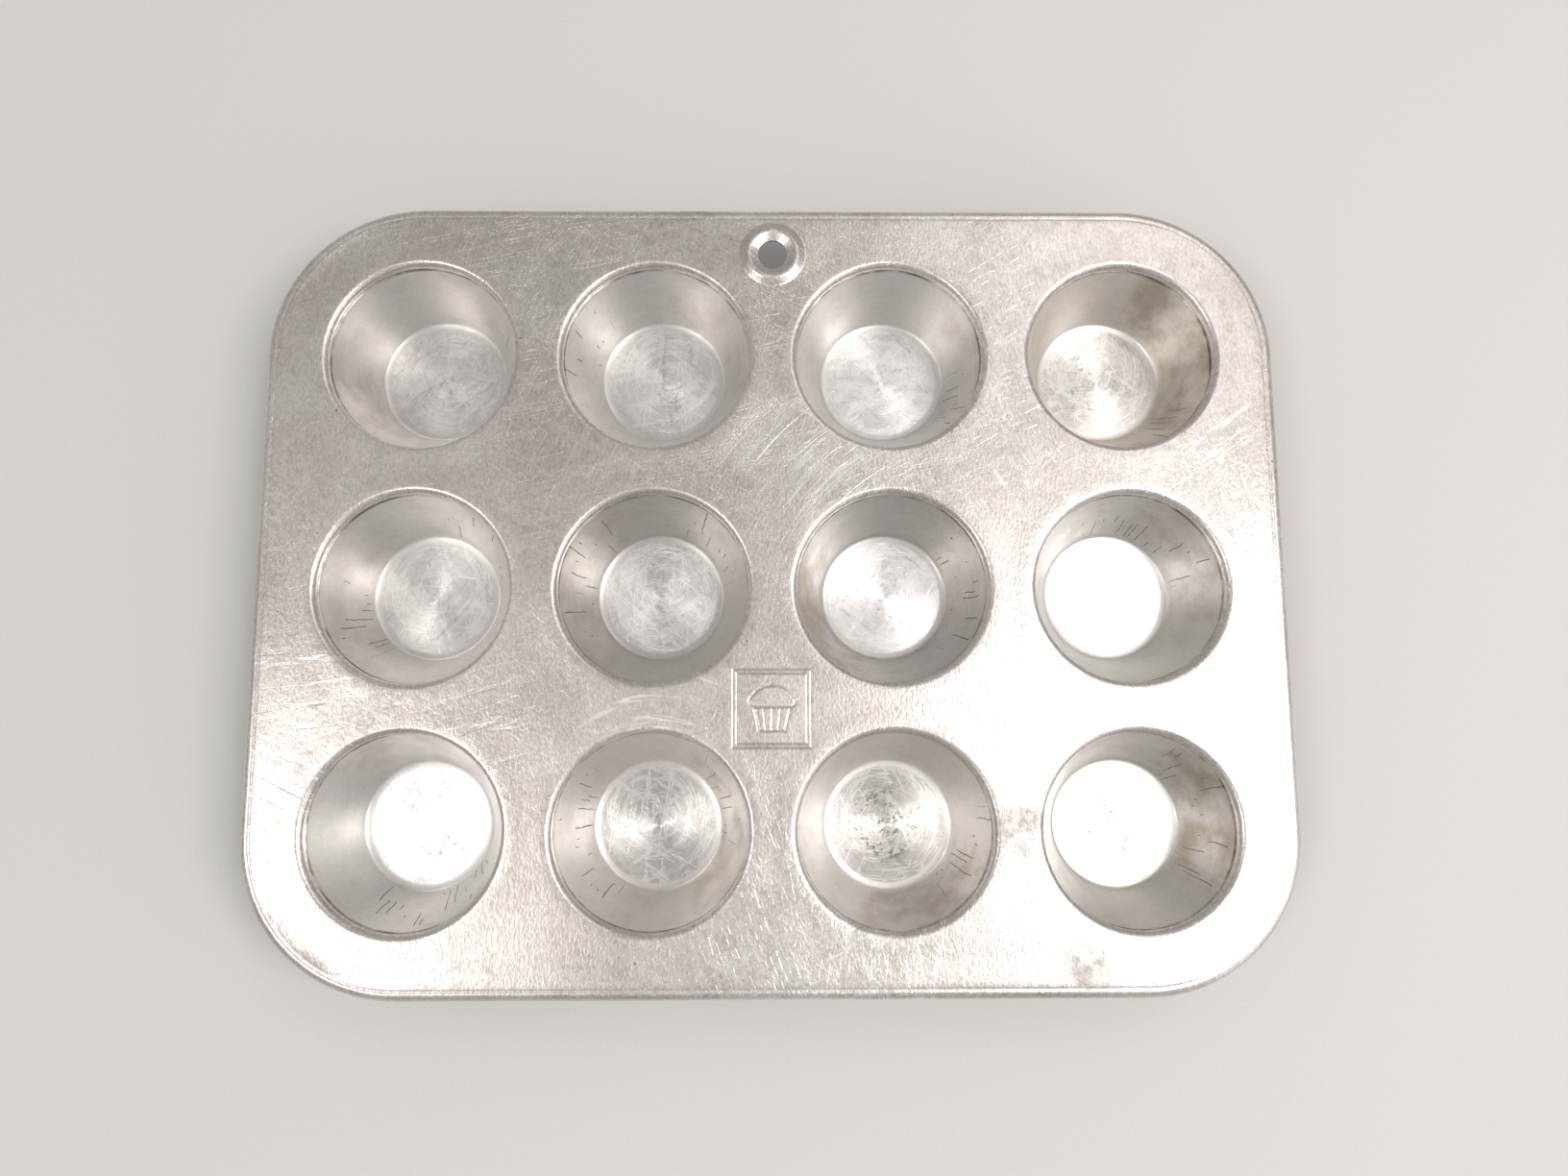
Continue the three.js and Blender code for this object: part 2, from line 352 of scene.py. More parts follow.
def finished_mesh(name, points, faces):
    """A smooth-shaded object at the origin, with its folds kept sharp."""
    mesh = bpy.data.meshes.new(name)
    mesh.from_pydata([tuple(p) for p in points], [], [tuple(f) for f in faces])
    mesh.validate()
    mesh.shade_smooth()
    mesh.set_sharp_from_angle(angle=math.radians(50))
    piece = bpy.data.objects.new(name, mesh)
    bpy.context.scene.collection.objects.link(piece)
    return piece


frame_piece = finished_mesh("tin_frame", mesh_points, mesh_faces)
stamp = frame_piece.data.attributes.new("stamped", "FLOAT", "POINT")
for vertex in frame_piece.data.vertices:
    stamp.data[vertex.index].value = stamped(vertex.co.x, vertex.co.y)


def linear(colour):
    """An sRGB hex colour as linear RGBA."""
    parts = [int(colour[k:k + 2], 16) / 255 for k in (1, 3, 5)]
    return [p / 12.92 if p <= 0.04045 else ((p + 0.055) / 1.055) ** 2.4 for p in parts] + [1.0]


def add(tree, kind, links=None, out=0, **settings):
    """Adds a node with its settings, feeds its inputs with values or other outputs, and gives
    one of its outputs. Inputs go by name or number: a Map Range takes the value, the range it
    comes from and the range it goes to as 0 to 4, and a Mix its two colours as 6 and 7."""
    made = tree.nodes.new(kind)
    for name, value in settings.items():
        setattr(made, name, value)
    for socket, value in (links or {}).items():
        if isinstance(value, bpy.types.NodeSocket):
            tree.links.new(value, made.inputs[socket])
        else:
            made.inputs[socket].default_value = value
    return made.outputs[out] if len(made.outputs) else made


def new_finish(name):
    """A new material and its empty node tree."""
    material = bpy.data.materials.new(name)
    material.use_nodes = True
    material.node_tree.nodes.clear()
    return material, material.node_tree


def folded(tree, operation, values):
    """Joins any number of masks into one, two at a time."""
    whole = values[0]
    for value in values[1:]:
        whole = add(tree, "ShaderNodeMath", {0: whole, 1: value}, operation=operation)
    return whole


# Settings of a mask with soft edges, and of a mix of two colours.
SOFT = {"interpolation_type": "SMOOTHSTEP"}
COLOURS = {"data_type": "RGBA", "out": 2}


def broken_lines(tree, place, fineness, cover, patch_scale):
    """Thin level lines of a noise, kept only in patches: more cover keeps more of them."""
    grain = add(tree, "ShaderNodeTexNoise", {"Vector": place, "Scale": 1.0, "Detail": 1.0})
    line = add(tree, "ShaderNodeMath", {0: grain, 1: 0.5, 2: fineness}, operation="COMPARE")
    patch = add(tree, "ShaderNodeTexNoise", {"Vector": place, "Scale": patch_scale, "Detail": 0.0})
    start, end = 0.72 - 0.4 * cover, 0.76 - 0.4 * cover
    shown = add(tree, "ShaderNodeMapRange", {0: patch, 1: start, 2: end}, **SOFT)
    return add(tree, "ShaderNodeMath", {0: line, 1: shown}, operation="MULTIPLY")


def hairlines(tree, place, angle, length, width, cover, fineness=0.05, seed=0.0):
    """Long thin marks at one angle, from a noise drawn out along them. length and width are those
    of the noise's grain, in millimetres."""
    drawn_out = add(tree, "ShaderNodeMapping",
                    {"Vector": place, "Rotation": (0, 0, math.radians(angle)),
                     "Location": (seed * 0.01, seed * 0.017, 0),
                     "Scale": (length * MM, width * MM, 20 * MM)}, vector_type="TEXTURE")
    return broken_lines(tree, drawn_out, fineness, cover, 0.37)


def arcs_round(tree, place, centre, width, cover, fineness=0.05):
    """Curved scratches round a point, as a cloth and a scourer leave."""
    local = add(tree, "ShaderNodeVectorMath", {0: place, 1: (centre[0], centre[1], 0)},
                operation="SUBTRACT")
    flat = add(tree, "ShaderNodeVectorMath", {0: local, 1: (1, 1, 0)}, operation="MULTIPLY")
    reach = add(tree, "ShaderNodeVectorMath", {0: flat}, out=1, operation="LENGTH")
    heading = add(tree, "ShaderNodeVectorMath", {0: flat}, operation="NORMALIZE")
    across = add(tree, "ShaderNodeMath", {0: reach, 1: 1 / (width * MM)}, operation="MULTIPLY")
    outward = add(tree, "ShaderNodeCombineXYZ", {"Z": across})
    turned = add(tree, "ShaderNodeVectorMath", {0: heading, 1: (1.3, 1.3, 0), 2: outward},
                 operation="MULTIPLY_ADD")
    return broken_lines(tree, turned, fineness, cover, 0.4)


def near_point(tree, place, x, y, reach):
    """1 at a point of the sheet, in millimetres, fading to 0 at a distance."""
    away = add(tree, "ShaderNodeVectorMath", {0: place, 1: (x * MM, y * MM, SHEET_TOP)}, out=1,
               operation="DISTANCE")
    return add(tree, "ShaderNodeMapRange", {0: away, 1: reach * MM, 2: 0.35 * reach * MM}, **SOFT)


def faces_up(tree):
    """1 on faces that look up and 0 on those that look down."""
    facing = add(tree, "ShaderNodeNewGeometry", out="Normal")
    tilt = add(tree, "ShaderNodeSeparateXYZ", {0: facing}, out=2)
    return add(tree, "ShaderNodeMapRange", {0: tilt, 1: -0.1, 2: 0.1}, **SOFT)


# Drawn aluminium, baked and washed for years: a soft grey shine, clouded by oxide, with fine
# scratches in every direction, brighter than the sheet because they cut through the oxide.
# A noise's scale is its number of cells in a metre: 26 gives clouds of 38 mm, 170 gives smudges
# of 6 mm, 210 gives specks 5 mm apart and 800 gives a grain of 1.25 mm.
sheet_finish, tree = new_finish("worn drawn aluminium sheet")
place = add(tree, "ShaderNodeTexCoord", out=3)
cloud = add(tree, "ShaderNodeTexNoise", {"Vector": place, "Scale": 26.0, "Detail": 3.0,
                                         "Roughness": 0.55})
smudge = add(tree, "ShaderNodeTexNoise", {"Vector": place, "Scale": 170.0, "Detail": 4.0,
                                          "Roughness": 0.65, "Distortion": 0.6})
grain = add(tree, "ShaderNodeTexNoise",
            {"Vector": add(tree, "ShaderNodeMapping", {"Vector": place, "Scale": (1.6, 0.8, 1)}),
             "Scale": 800.0, "Detail": 2.0, "Roughness": 0.6})
# Only the upper face is stacked on, cut on and scoured.
upper = faces_up(tree)

# Angle, length and grain width of the fine scratches that lie all over.
SCRATCHES = ((12, 20, 1.1), (-38, 16, 1.2), (63, 14, 1.1), (97, 24, 1.3), (150, 18, 1.2))
faint = folded(tree, "MAXIMUM",
               [hairlines(tree, place, angle, length, width, 0.46, seed=k + 1)
                for k, (angle, length, width) in enumerate(SCRATCHES)])
# Short bright nicks where other tins have stood on it: angle, length and grain width, and the
# place and reach of each patch.
NICKS = ((28, 8.0, 0.8), (-72, 7.0, 0.8), (112, 9.0, 0.8))
NICKED_PATCHES = ((84, 88, 62), (150, 20, 44), (8, -112, 60), (40, 30, 34))
nicks = folded(tree, "MAXIMUM",
               [hairlines(tree, place, angle, length, width, 0.45, seed=k + 31)
                for k, (angle, length, width) in enumerate(NICKS)])
nicked = folded(tree, "MAXIMUM",
                [near_point(tree, place, x, y, reach) for x, y, reach in NICKED_PATCHES])
nicks = folded(tree, "MULTIPLY", [nicks, upper, nicked])
# Deeper ones in patches: place, reach, angle, length and grain width.
SCRATCHED_PATCHES = ((-150, -62, 34, -28, 26, 1.5), (-158, -38, 26, 4, 22, 1.8),
                     (-96, -44, 24, 18, 14, 1.2), (44, -118, 40, 84, 7, 0.9),
                     (84, 42, 26, -55, 18, 1.3), (150, 60, 30, 35, 16, 1.3))
# Where a cloth has gone round and round: place, reach, the centre of its turns in metres, the
# width of their grain, and their cover.
SCOURED_PATCHES = ((14, 34, 40, (0.078, -0.024), 1.3, 0.75),
                   (-42, -40, 34, (-0.04, -0.08), 1.5, 0.55))
deep = [add(tree, "ShaderNodeMath",
            {0: hairlines(tree, place, angle, length, width, 0.5, seed=k + 11),
             1: near_point(tree, place, x, y, reach)}, operation="MULTIPLY")
        for k, (x, y, reach, angle, length, width) in enumerate(SCRATCHED_PATCHES)]
deep += [add(tree, "ShaderNodeMath",
             {0: arcs_round(tree, place, centre, width, cover),
              1: near_point(tree, place, x, y, reach)}, operation="MULTIPLY")
         for x, y, reach, centre, width, cover in SCOURED_PATCHES]
deep = add(tree, "ShaderNodeMath", {0: folded(tree, "MAXIMUM", deep), 1: upper},
           operation="MULTIPLY")
# Patches rubbed dull: place, reach and share. A rubbed patch is rougher, and its darker colour is
# painted shade for its weaker highlight.
DULL_AND_SHADED_PATCHES = ((84, -82, 13, 0.8), (104, -127, 12, 0.8), (30, -124, 22, 0.6),
                (-30, 126, 26, 0.55), (-74, 108, 14, 0.8), (52, -58, 14, 0.6),
                (4, -40, 34, 0.35))
dulled = folded(tree, "MAXIMUM",
                [add(tree, "ShaderNodeMath", {0: near_point(tree, place, x, y, reach), 1: share},
                     operation="MULTIPLY")
                 for x, y, reach, share in DULL_AND_SHADED_PATCHES])
dull_spots = add(tree, "ShaderNodeMapRange", {0: smudge, 1: 0.26, 2: 0.62}, **SOFT)
dull_share_and_painted_shade = folded(tree, "MULTIPLY", [dulled, dull_spots, upper])

speck_cells = add(tree, "ShaderNodeTexVoronoi", {"Vector": place, "Scale": 210.0})
speck_patch = add(tree, "ShaderNodeTexNoise", {"Vector": place, "Scale": 60.0, "Detail": 2.0})
specks = folded(tree, "MULTIPLY",
                [add(tree, "ShaderNodeMapRange", {0: speck_cells, 1: 0.1, 2: 0.06}, **SOFT),
                 add(tree, "ShaderNodeMapRange", {0: speck_patch, 1: 0.6, 2: 0.66}, **SOFT)])
# Baked grease stays in the seam at the foot of each collar, and a little in the badge. Its dark
# tone is also painted shade in the seam's groove and in the badge's stamped lines.
level = add(tree, "ShaderNodeSeparateXYZ", {0: place}, out=2)
seam_grease_and_shade_band = {0: level, 1: SHEET_TOP - 3.0 * MM, 2: SHEET_TOP - 3.6 * MM, 4: 0.75}
grease_and_painted_shade = folded(tree, "MULTIPLY",
               [add(tree, "ShaderNodeMapRange", seam_grease_and_shade_band, **SOFT),
                add(tree, "ShaderNodeMapRange", {0: cloud, 1: 0.25, 2: 0.6}, **SOFT)])
stamp_grease_and_shade = add(tree, "ShaderNodeAttribute", out=2, attribute_name="stamped")

oxide_share = add(tree, "ShaderNodeMapRange", {0: cloud, 1: 0.36, 2: 0.66}, **SOFT)
oxide = add(tree, "ShaderNodeMix",
            {"Factor": oxide_share, 6: linear("#d8d2cd"), 7: linear("#e8e3de")}, **COLOURS)
smudge_share = add(tree, "ShaderNodeMapRange", {0: smudge, 1: 0.5, 2: 0.74, 4: 0.3}, **SOFT)
smudged = add(tree, "ShaderNodeMix", {"Factor": smudge_share, 6: oxide, 7: linear("#b0aaa6")},
              **COLOURS)
# Painted shade: the dull patches' darker colour stands for their weaker highlight.
worn = add(tree, "ShaderNodeMix",
           {"Factor": add(tree, "ShaderNodeMath", {0: dull_share_and_painted_shade, 1: 0.75}, operation="MULTIPLY"),
            6: smudged, 7: linear("#9a9693")}, **COLOURS)
grain_tone = add(tree, "ShaderNodeMapRange", {"Value": grain, "From Min": 0.32, "From Max": 0.66,
                                              "To Min": 0.76, "To Max": 1.0})
tone = add(tree, "ShaderNodeMix", {"Factor": 1.0, 6: worn, 7: grain_tone}, **COLOURS,
           blend_type="MULTIPLY")
# What lies over the grained metal, from the oldest to the newest.
# The last two, grease in the seam and in the badge, are also painted shade in those recesses.
for marks, strength, colour in ((faint, 0.16, "#f1f0ef"), (nicks, 0.42, "#fbfbfa"),
                                (deep, 0.72, "#f8f8f7"), (specks, 0.7, "#5b5550"),
                                (grease_and_painted_shade, 1.0, "#3f3a35"), (stamp_grease_and_shade, 0.45, "#5f5953")):
    share = add(tree, "ShaderNodeMath", {0: marks, 1: strength}, operation="MULTIPLY")
    tone = add(tree, "ShaderNodeMix", {"Factor": share, 6: tone, 7: linear(colour)}, **COLOURS)

roughness = add(tree, "ShaderNodeMapRange", {"Value": smudge, "From Min": 0.3, "From Max": 0.75,
                                             "To Min": 0.3, "To Max": 0.4})
roughness = add(tree, "ShaderNodeMath", {0: dull_share_and_painted_shade, 1: 0.2, 2: roughness},
                operation="MULTIPLY_ADD")
height = grain
for marks, depth in ((faint, 0.2), (deep, 0.8), (nicks, 0.5)):
    cut_depth = add(tree, "ShaderNodeMath", {0: marks, 1: depth}, operation="MULTIPLY")
    height = add(tree, "ShaderNodeMath", {0: height, 1: cut_depth}, operation="SUBTRACT")
relief = add(tree, "ShaderNodeBump", {"Height": height, "Strength": 0.6, "Distance": 0.14 * MM})
shine = add(tree, "ShaderNodeBsdfPrincipled",
            {"Base Color": tone, "Metallic": 1.0, "Roughness": roughness, "Normal": relief})
add(tree, "ShaderNodeOutputMaterial", {"Surface": shine})

frame_piece.data.materials.append(sheet_finish)
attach(frame_piece, "root")
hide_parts("frame_sheet")


# ---------------------------------------------------------------------------------------------
# Twelve cups. Each is a shell drawn from thin aluminium, with a flat floor, a round corner and a
# straight tapered wall. Its rim is folded over the collar's flange and pressed tight, which leaves
# a fine seam just under the lip, darkened by grease and by painted shade.

CUP_THICKNESS = 0.7 * MM
CUP_STEPS = 128
SPINDLE = 10 * MM

# The flat floor dishes up a little at its edge and meets the wall in a tight round heel.
FLOOR_RINGS = (0, 9 * MM, 15 * MM)
FLOOR_FLAT = 20.3 * MM
DISH_RADIUS = 8 * MM
DISH_TURN = math.radians(15)
DISH_STEPS = 6
HEEL_RADIUS = 1.3 * MM
HEEL_STEPS = 8
WALL_RUN, WALL_RISE = 9.6 * MM, 26.1 * MM
WALL_TURN = math.atan2(WALL_RISE, WALL_RUN)
WALL_STEPS = 14

# The rim goes out under the collar's flange, up round its edge and back over it.
SEAM_GAP = 0.06 * MM
FOLD_GAP = 0.08 * MM
FOLD_BACK = 1.4 * MM
FOLD_BEND = 0.75 * MM
RIM_BEND = 0.8 * MM
NECK_BEND = 0.35 * MM
cup_rim = SHEET_TOP - COLLAR_DEPTH - SEAM_GAP


def cup_section():
    """Half section of a cup from the middle of its floor, inside, round to the middle outside."""
    points = [Vector((across, CUP_THICKNESS)) for across in FLOOR_RINGS]
    dish = [DISH_TURN * k / DISH_STEPS for k in range(DISH_STEPS + 1)]
    heel = [DISH_TURN + (WALL_TURN - DISH_TURN) * k / HEEL_STEPS for k in range(HEEL_STEPS + 1)]
    points += [Vector((FLOOR_FLAT + DISH_RADIUS * math.sin(turn),
                       CUP_THICKNESS + DISH_RADIUS * (1 - math.cos(turn)))) for turn in dish]
    heel_centre = points[-1] - HEEL_RADIUS * Vector((math.sin(DISH_TURN), -math.cos(DISH_TURN)))
    points += [heel_centre + HEEL_RADIUS * Vector((math.sin(turn), -math.cos(turn)))
               for turn in heel[1:]]
    foot = points[-1].copy()
    wall_top = Vector((MOUTH_RADIUS + 0.02 * MM, cup_rim))
    points += [foot.lerp(wall_top, k / WALL_STEPS) for k in range(1, WALL_STEPS)]
    fold_out = FLANGE_RADIUS + FOLD_GAP
    fold_up = SHEET_TOP - COLLAR_DEPTH + SHEET_THICKNESS + SEAM_GAP
    points += bent_line([points[-1], (wall_top.x, wall_top.y, RIM_BEND, 6),
                         (fold_out, cup_rim, 0.1 * MM, 2), (fold_out, fold_up, 0.1 * MM, 2),
                         (FLANGE_RADIUS - FOLD_BACK, fold_up)])[1:]
    skin_out, skin_up = fold_out + CUP_THICKNESS, fold_up + CUP_THICKNESS
    points += bent_line([(FLANGE_RADIUS - FOLD_BACK, skin_up),
                         (skin_out, skin_up, FOLD_BEND, 5),
                         (skin_out, cup_rim - CUP_THICKNESS, FOLD_BEND, 5),
                         (wall_top.x + 0.55 * MM, cup_rim - CUP_THICKNESS, NECK_BEND, 3),
                         foot + Vector((CUP_THICKNESS, -0.2 * CUP_THICKNESS))])[:-1]
    out = Vector((math.sin(WALL_TURN), -math.cos(WALL_TURN))) * CUP_THICKNESS
    last = points[-1].copy()
    points += [last.lerp(foot + out, k / WALL_STEPS) for k in range(1, WALL_STEPS + 1)]
    heel_outside, dish_outside = HEEL_RADIUS + CUP_THICKNESS, DISH_RADIUS + CUP_THICKNESS
    points += [heel_centre + heel_outside * Vector((math.sin(turn), -math.cos(turn)))
               for turn in reversed(heel[:-1])]
    points += [Vector((FLOOR_FLAT + dish_outside * math.sin(turn),
                       dish_outside * (1 - math.cos(turn)))) for turn in reversed(dish[:-1])]
    return points + [Vector((across, 0)) for across in reversed(FLOOR_RINGS)]


def new_group(name, inputs):
    """A Geometry Nodes tree with named inputs, and what they give inside it."""
    group = bpy.data.node_groups.new(name, "GeometryNodeTree")
    for label, kind in inputs.items():
        group.interface.new_socket(label, in_out="INPUT", socket_type="NodeSocket" + kind)
    group.interface.new_socket("Piece", in_out="OUTPUT", socket_type="NodeSocketGeometry")
    return group, group.nodes.new("NodeGroupInput").outputs


def end_group(group, geometry, finish):
    """Smooths what a tree has made, makes it real and gives it its material."""
    smooth = add(group, "GeometryNodeSetShadeSmooth", {0: geometry})
    real = add(group, "GeometryNodeRealizeInstances", {"Geometry": smooth})
    finished = add(group, "GeometryNodeSetMaterial", {"Geometry": real, "Material": finish})
    group.links.new(finished, group.nodes.new("NodeGroupOutput").inputs["Piece"])
    return group


def turning_tree():
    """Turns a half section round a cup's axis, then adds the slight waviness of a drawn wall."""
    group, given = new_group("turned cup", {
        "Half section": "Geometry", "Spindle radius": "Float", "Steps round": "Int",
        "Centre": "Vector", "Waviness": "Float", "Seed": "Float", "Finish": "Material"})
    path = add(group, "GeometryNodeCurvePrimitiveCircle",
               {"Resolution": given["Steps round"], "Radius": given["Spindle radius"]},
               mode="RADIUS")
    level = add(group, "GeometryNodeSetCurveNormal", {"Curve": path}, mode="Z_UP")
    section = add(group, "GeometryNodeMeshToCurve", {"Mesh": given["Half section"]})
    shell = add(group, "GeometryNodeCurveToMesh", {"Curve": level, "Profile Curve": section})
    closed = add(group, "GeometryNodeMergeByDistance", {"Geometry": shell, "Distance": 1e-6})
    where = add(group, "GeometryNodeInputPosition")
    moved = add(group, "ShaderNodeVectorMath",
                {0: where, 1: add(group, "ShaderNodeCombineXYZ",
                                  {"X": given["Seed"], "Z": given["Seed"]})}, operation="ADD")
    uneven = add(group, "ShaderNodeTexNoise", {"Vector": moved, "Scale": 34.0, "Detail": 1.0})
    swing = add(group, "ShaderNodeMath", {0: uneven, 1: 0.5}, operation="SUBTRACT")
    split = add(group, "ShaderNodeSeparateXYZ", {0: where}, out=2)
    low_fade = add(group, "ShaderNodeMapRange", {0: split, 1: 2.5 * MM, 2: 9 * MM}, **SOFT)
    high_fade = add(group, "ShaderNodeMapRange", {0: split, 1: 25 * MM, 2: 18 * MM}, **SOFT)
    outward = add(group, "ShaderNodeVectorMath",
                  {0: add(group, "ShaderNodeVectorMath", {0: where, 1: (1, 1, 0)},
                          operation="MULTIPLY")}, operation="NORMALIZE")
    push = folded(group, "MULTIPLY", [swing, low_fade, high_fade, given["Waviness"]])
    shift = add(group, "ShaderNodeVectorMath", {0: outward, "Scale": push}, operation="SCALE")
    uneven_shell = add(group, "GeometryNodeSetPosition", {"Geometry": closed, "Offset": shift})
    placed = add(group, "GeometryNodeTransform",
                 {"Geometry": uneven_shell, "Translation": given["Centre"]})
    return end_group(group, placed, given["Finish"])


def line_mesh(name, points, closed=False):
    """A mesh of edges only, through a row of points."""
    mesh = bpy.data.meshes.new(name)
    edges = [(k, k + 1) for k in range(len(points) - 1)]
    if closed:
        edges.append((len(points) - 1, 0))
    mesh.from_pydata([tuple(p) for p in points], edges, [])
    return mesh


def made_by(group, line, name, **values):
    """Runs a node group on a line mesh with named inputs, and keeps the plain mesh it makes."""
    carrier = bpy.data.objects.new(name, line)
    bpy.context.scene.collection.objects.link(carrier)
    modifier = carrier.modifiers.new("shape", "NODES")
    modifier.node_group = group
    for item in group.interface.items_tree:
        key = item.name.replace(" ", "_").lower()
        if item.in_out == "INPUT" and key in values:
            modifier[item.identifier] = values[key]
    carrier.update_tag()
    view = bpy.context.evaluated_depsgraph_get()
    mesh = bpy.data.meshes.new_from_object(carrier.evaluated_get(view))
    carrier.modifiers.remove(modifier)
    carrier.data = mesh
    mesh.set_sharp_from_angle(angle=math.radians(50))
    return carrier


# A knife mark has one of this many slices of the cup's turn to itself.
KNIFE_SLICES = 54


def sector(tree, heading, angle, half_spread):
    """A soft-edged sector of the cup, centred on an angle in degrees."""
    toward = (math.cos(math.radians(angle)), math.sin(math.radians(angle)), 0)
    along = add(tree, "ShaderNodeVectorMath", {0: heading, 1: toward}, out=1,
                operation="DOT_PRODUCT")
    edge = math.cos(math.radians(half_spread))
    return add(tree, "ShaderNodeMapRange", {0: along, 1: edge - 0.12, 2: edge + 0.08}, **SOFT)


def cup_finish(name, centre, seed, floor_tone_with_painted_light, wall_tone_with_painted_light, knife_marks, stain, residue):
    """Drawn aluminium of one cup: turned circular scratches, which stretch each highlight into a
    bow tie, fine knife marks down the wall, and what years of baking have left. Painted light and
    shade is in its floor and wall tones, its dark scratch lines and its seam's grease."""
    finish, tree = new_finish(name)
    place = add(tree, "ShaderNodeTexCoord", out=3)
    local = add(tree, "ShaderNodeMapping", {"Vector": place, "Location": (-centre.x, -centre.y, 0)})
    flat = add(tree, "ShaderNodeVectorMath", {0: local, 1: (1, 1, 0)}, operation="MULTIPLY")
    reach = add(tree, "ShaderNodeVectorMath", {0: flat}, out=1, operation="LENGTH")
    heading = add(tree, "ShaderNodeVectorMath", {0: flat}, operation="NORMALIZE")
    # The turning tool wandered a little, so the marks don't meet in one sharp point.
    drift = add(tree, "ShaderNodeTexNoise", {"Vector": local, "Scale": 150.0, "Detail": 2.0},
                out=1)
    wander = add(tree, "ShaderNodeVectorMath", {0: drift, 1: (0.5, 0.5, 0.5)},
                 operation="SUBTRACT")
    stretch = add(tree, "ShaderNodeVectorMath", {0: wander, 1: (0.006, 0.006, 0), 2: flat},
                  operation="MULTIPLY_ADD")
    rise = add(tree, "ShaderNodeSeparateXYZ", {0: local}, out=2)
    along = add(tree, "ShaderNodeMath", {0: reach, 1: rise}, operation="ADD")
    # The inner faces look up and the outer ones down, so only the inner ones carry kitchen wear.
    inside = faces_up(tree)
    on_floor, on_wall = [
        add(tree, "ShaderNodeMath",
            {0: add(tree, "ShaderNodeMapRange", {0: reach, 1: start * MM, 2: end * MM}, **SOFT),
             1: inside}, operation="MULTIPLY") for start, end in ((21.2, 20.2), (23, 24.5))]

    # Turned marks, 0.5 mm apart, broken into arcs.
    ring_number = add(tree, "ShaderNodeMath", {0: along, 1: 1 / (0.5 * MM)}, operation="MULTIPLY")
    ring_offset = add(tree, "ShaderNodeCombineXYZ", {"X": seed, "Z": ring_number})
    ring_place = add(tree, "ShaderNodeVectorMath",
                     {0: heading, 1: (1.6, 1.6, 0), 2: ring_offset}, operation="MULTIPLY_ADD")
    rings = add(tree, "ShaderNodeTexNoise", {"Vector": ring_place, "Scale": 1.0, "Detail": 3.0})

    # Cloudy oxide, and scratches across the floor: straight and curved bright ones, whose arcs turn
    # round two points, and a few dark lines that are painted shadow along the edges of scratches.
    # Clouds are 11 mm, pits 1.6 mm and crumbs 2 mm.
    cloud_place = add(tree, "ShaderNodeVectorMath", {0: local, 1: (seed, seed, 0)}, operation="ADD")
    cloud = add(tree, "ShaderNodeTexNoise", {"Vector": cloud_place, "Scale": 90.0, "Detail": 4.0,
                                             "Roughness": 0.6})
    bright = [hairlines(tree, local, angle + 31 * seed, length, 1.0, cover, 0.04, seed + angle)
              for angle, length, cover in ((10, 11, 0.3), (-40, 7, 0.32), (75, 14, 0.3))]
    bright += [arcs_round(tree, local, (-0.006 * math.sin(seed), 0.005), 0.8, 0.55, 0.04),
               arcs_round(tree, local, (0.003 * math.cos(seed), 0.003 * math.sin(seed)),
                          0.9, 0.5, 0.04)]
    floor_share = add(tree, "ShaderNodeMapRange", {"Value": on_floor, "To Min": 0.1, "To Max": 1.0})
    scratch = add(tree, "ShaderNodeMath", {0: folded(tree, "MAXIMUM", bright), 1: floor_share},
                  operation="MULTIPLY")
    painted_shadow_hairlines = [hairlines(tree, local, angle + 47 * seed, length, 0.9, 0.2, 0.03, seed + angle)
            for angle, length in ((35, 6), (-15, 10))]
    painted_scratch_shadow = add(tree, "ShaderNodeMath", {0: folded(tree, "MAXIMUM", painted_shadow_hairlines), 1: on_floor},
                 operation="MULTIPLY")

    # Knife marks run down the wall, in the sectors where a knife loosened the cakes: one in each
    # of many narrow slices, at a random place and of a random length, and some slices have none.
    flat_parts = add(tree, "ShaderNodeSeparateXYZ", {0: local})
    turn = add(tree, "ShaderNodeMath", {0: flat_parts.node.outputs["Y"], 1: flat_parts},
               operation="ARCTAN2")
    wobble = add(tree, "ShaderNodeMath", {0: cloud, 1: 0.7}, operation="MULTIPLY")
    slices = add(tree, "ShaderNodeMath", {0: turn, 1: KNIFE_SLICES / (2 * math.pi), 2: wobble},
                 operation="MULTIPLY_ADD")
    inside_slice = add(tree, "ShaderNodeMath", {0: slices}, operation="FRACT")
    slice_number = add(tree, "ShaderNodeMath", {0: slices}, operation="FLOOR")
    draw = add(tree, "ShaderNodeTexWhiteNoise",
               {"W": add(tree, "ShaderNodeMath", {0: slice_number, 1: seed * 7.3},
                         operation="ADD")}, out=1, noise_dimensions="1D")
    drawn = add(tree, "ShaderNodeSeparateXYZ", {0: draw}).node.outputs
    middle = add(tree, "ShaderNodeMapRange", {"Value": drawn["X"], "To Min": 0.2, "To Max": 0.8})
    off_line = add(tree, "ShaderNodeMath",
                   {0: add(tree, "ShaderNodeMath", {0: inside_slice, 1: middle},
                           operation="SUBTRACT")}, operation="ABSOLUTE")
    mark_middle = add(tree, "ShaderNodeMapRange", {"Value": drawn["Y"], "To Min": 24 * MM,
                                                   "To Max": 56 * MM})
    off_middle = add(tree, "ShaderNodeMath",
                     {0: add(tree, "ShaderNodeMath", {0: along, 1: mark_middle},
                             operation="SUBTRACT")}, operation="ABSOLUTE")
    mark_half = add(tree, "ShaderNodeMapRange", {"Value": drawn["Z"], "From Min": 0.35,
                                                 "To Min": 1 * MM, "To Max": 11 * MM})
    in_length = add(tree, "ShaderNodeMath", {0: off_middle, 1: mark_half}, operation="LESS_THAN")
